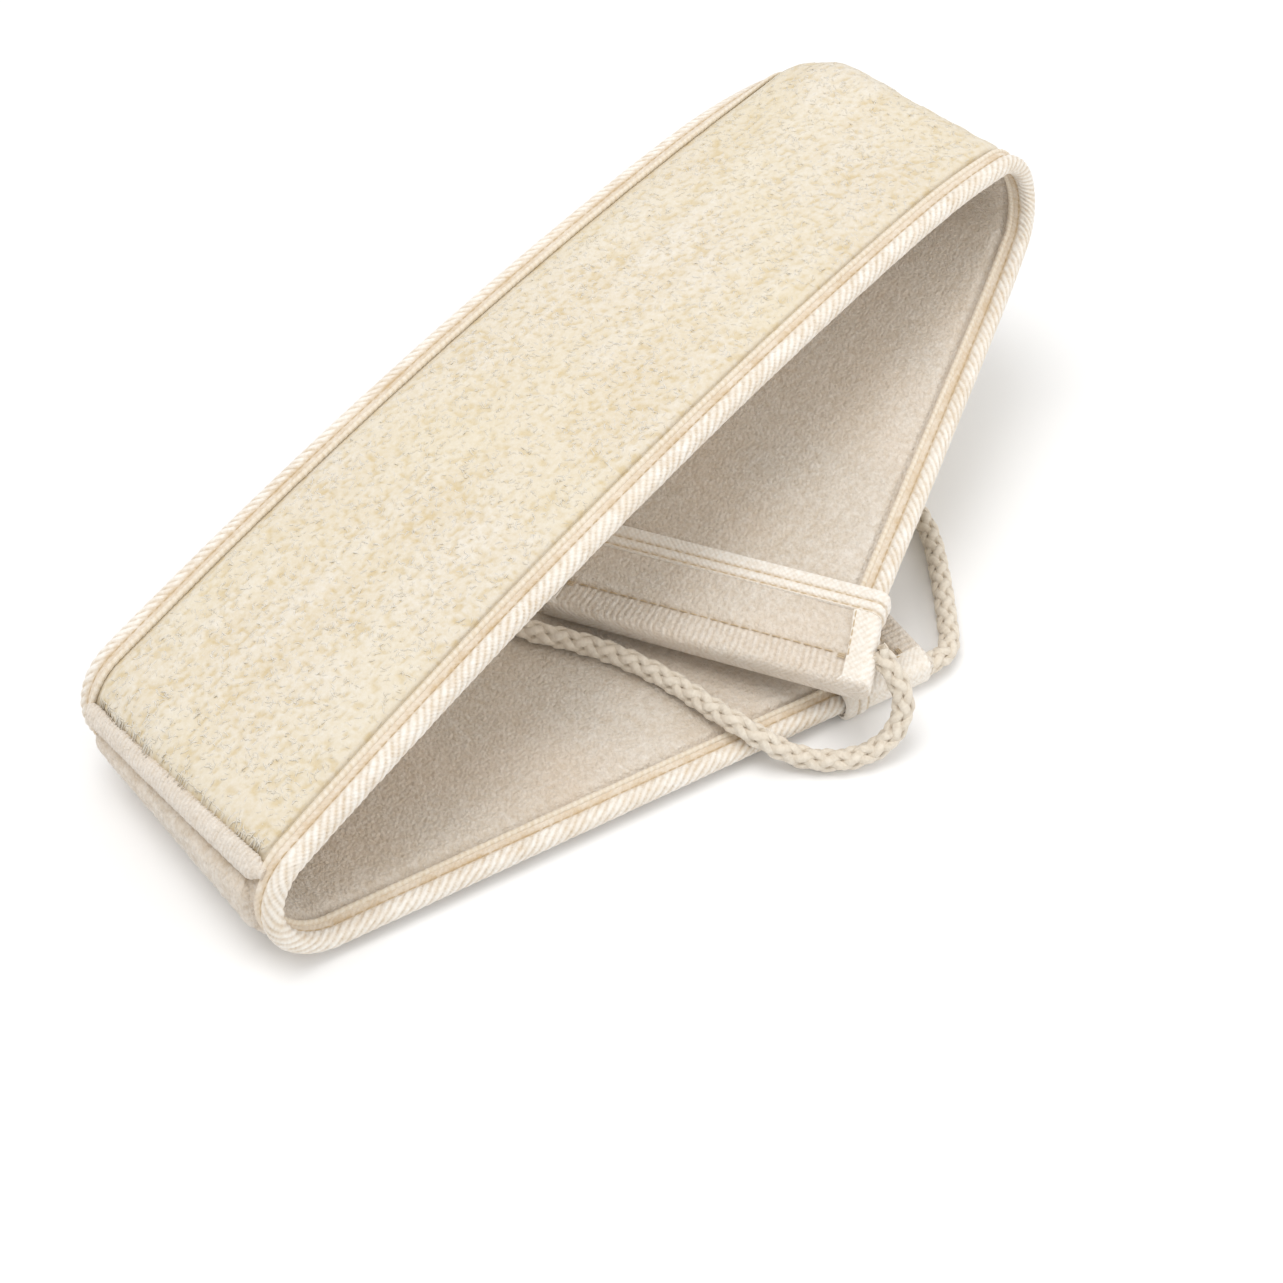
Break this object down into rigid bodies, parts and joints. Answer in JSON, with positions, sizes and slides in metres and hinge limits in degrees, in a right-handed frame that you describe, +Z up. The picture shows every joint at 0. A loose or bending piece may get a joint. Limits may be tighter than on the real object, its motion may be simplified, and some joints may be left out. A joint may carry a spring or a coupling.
{
  "type": "loofah back scrubber",
  "caption": "Long loofah back-scrubbing strap lined with terry, taped at its edges, folded over twice, with a braided rope loop at each end.",
  "frame": {"origin": "middle of the lying panel's flat underside, where the strap rests", "axes": "+X along the lying panel towards its capped end, +Y from the front edge to the back edge, +Z up"},
  "size_m": [0.3613, 0.2239, 0.1038],
  "materials": {
    "cotton_terry": "looped terry pile",
    "foam_padding": "soft wadding",
    "natural_loofah": "dry plant fibre mat",
    "twill_tape": "diagonal twill weave",
    "piping_cord": "covered cord",
    "cotton_rope": "braided cotton"
  },
  "bodies": {
    "lower_end": {"lower_cap_hem": "twill_tape", "lower_end_cap": "cotton_terry", "lower_panel_back_binding": "twill_tape", "lower_panel_back_inner_piping": "piping_cord", "lower_panel_front_binding": "twill_tape", "lower_panel_front_inner_piping": "piping_cord", "lower_panel_padding": "foam_padding", "lower_panel_terry_backing": "cotton_terry", "lower_panel_terry_facing": "cotton_terry"},
    "lower_bend": {"loofah_end_hem": "cotton_terry", "lower_fold_back_binding": "twill_tape", "lower_fold_back_inner_piping": "piping_cord", "lower_fold_back_outer_piping": "piping_cord", "lower_fold_front_binding": "twill_tape", "lower_fold_front_inner_piping": "piping_cord", "lower_fold_front_outer_piping": "piping_cord", "lower_fold_loofah": "natural_loofah", "lower_fold_padding": "foam_padding", "lower_fold_terry_backing": "cotton_terry", "lower_fold_terry_facing": "cotton_terry"},
    "middle": {"middle_panel_back_binding": "twill_tape", "middle_panel_back_inner_piping": "piping_cord", "middle_panel_back_outer_piping": "piping_cord", "middle_panel_front_binding": "twill_tape", "middle_panel_front_inner_piping": "piping_cord", "middle_panel_front_outer_piping": "piping_cord", "middle_panel_loofah": "natural_loofah", "middle_panel_padding": "foam_padding", "middle_panel_terry_backing": "cotton_terry"},
    "upper_bend": {"upper_fold_back_binding": "twill_tape", "upper_fold_back_inner_piping": "piping_cord", "upper_fold_back_outer_piping": "piping_cord", "upper_fold_front_binding": "twill_tape", "upper_fold_front_inner_piping": "piping_cord", "upper_fold_front_outer_piping": "piping_cord", "upper_fold_loofah": "natural_loofah", "upper_fold_padding": "foam_padding", "upper_fold_terry_backing": "cotton_terry"},
    "upper_end": {"upper_cap_hem": "twill_tape", "upper_end_cap": "cotton_terry", "upper_panel_back_binding": "twill_tape", "upper_panel_back_inner_piping": "piping_cord", "upper_panel_back_outer_piping": "piping_cord", "upper_panel_front_binding": "twill_tape", "upper_panel_front_inner_piping": "piping_cord", "upper_panel_front_outer_piping": "piping_cord", "upper_panel_loofah": "natural_loofah", "upper_panel_padding": "foam_padding", "upper_panel_terry_backing": "cotton_terry"},
    "lower_rope": {"lower_rope_loop": "cotton_rope"},
    "upper_rope": {"upper_rope_loop": "cotton_rope"}
  },
  "joints": [
    {"name": "lower_fold_near", "type": "hinge", "parent": "lower_end", "child": "lower_bend", "pos_m": [-0.11805, -0.00183, 0.00806], "axis": [0.1564, -0.9877, 0], "range_deg": [0, 81.2], "deforming": ["loofah_end_hem", "lower_fold_back_binding", "lower_fold_back_inner_piping", "lower_fold_back_outer_piping", "lower_fold_front_binding", "lower_fold_front_inner_piping", "lower_fold_front_outer_piping", "lower_fold_loofah", "lower_fold_padding", "lower_fold_terry_backing", "lower_fold_terry_facing"]},
    {"name": "lower_fold_far", "type": "hinge", "parent": "lower_bend", "child": "middle", "pos_m": [-0.12216, 0.00127, 0.03117], "axis": [0.1564, -0.9877, 0], "range_deg": [0, 81.2]},
    {"name": "upper_fold_near", "type": "hinge", "parent": "middle", "child": "upper_bend", "pos_m": [0.19442, 0.10887, 0.09435], "axis": [0.4419, -0.8952, 0.0583], "range_deg": [0, 52.8], "deforming": ["upper_fold_back_binding", "upper_fold_back_inner_piping", "upper_fold_back_outer_piping", "upper_fold_front_binding", "upper_fold_front_inner_piping", "upper_fold_front_outer_piping", "upper_fold_loofah", "upper_fold_padding", "upper_fold_terry_backing"]},
    {"name": "upper_fold_far", "type": "hinge", "parent": "upper_bend", "child": "upper_end", "pos_m": [0.20069, 0.10546, 0.06723], "axis": [0.4419, -0.8952, 0.0583], "range_deg": [0, 52.8]},
    {"name": "lower_rope_swing", "type": "hinge", "parent": "lower_end", "child": "lower_rope", "pos_m": [0.1087, 0, 0.0054], "axis": [0, -1, 0], "range_deg": [0, 40], "deforming": ["lower_rope_loop"]},
    {"name": "upper_rope_swing", "type": "hinge", "parent": "upper_end", "child": "upper_rope", "pos_m": [0.05245, -0.0065, 0.0226], "axis": [-0.5018, 0.8621, -0.0708], "range_deg": [0, 60], "deforming": ["upper_rope_loop"]}
  ],
  "couplings": [
    {"joint": "lower_fold_far", "follows": "lower_fold_near", "ratio": 1},
    {"joint": "upper_fold_near", "follows": "lower_fold_near", "ratio": 0.65},
    {"joint": "upper_fold_far", "follows": "lower_fold_near", "ratio": 0.65}
  ]
}
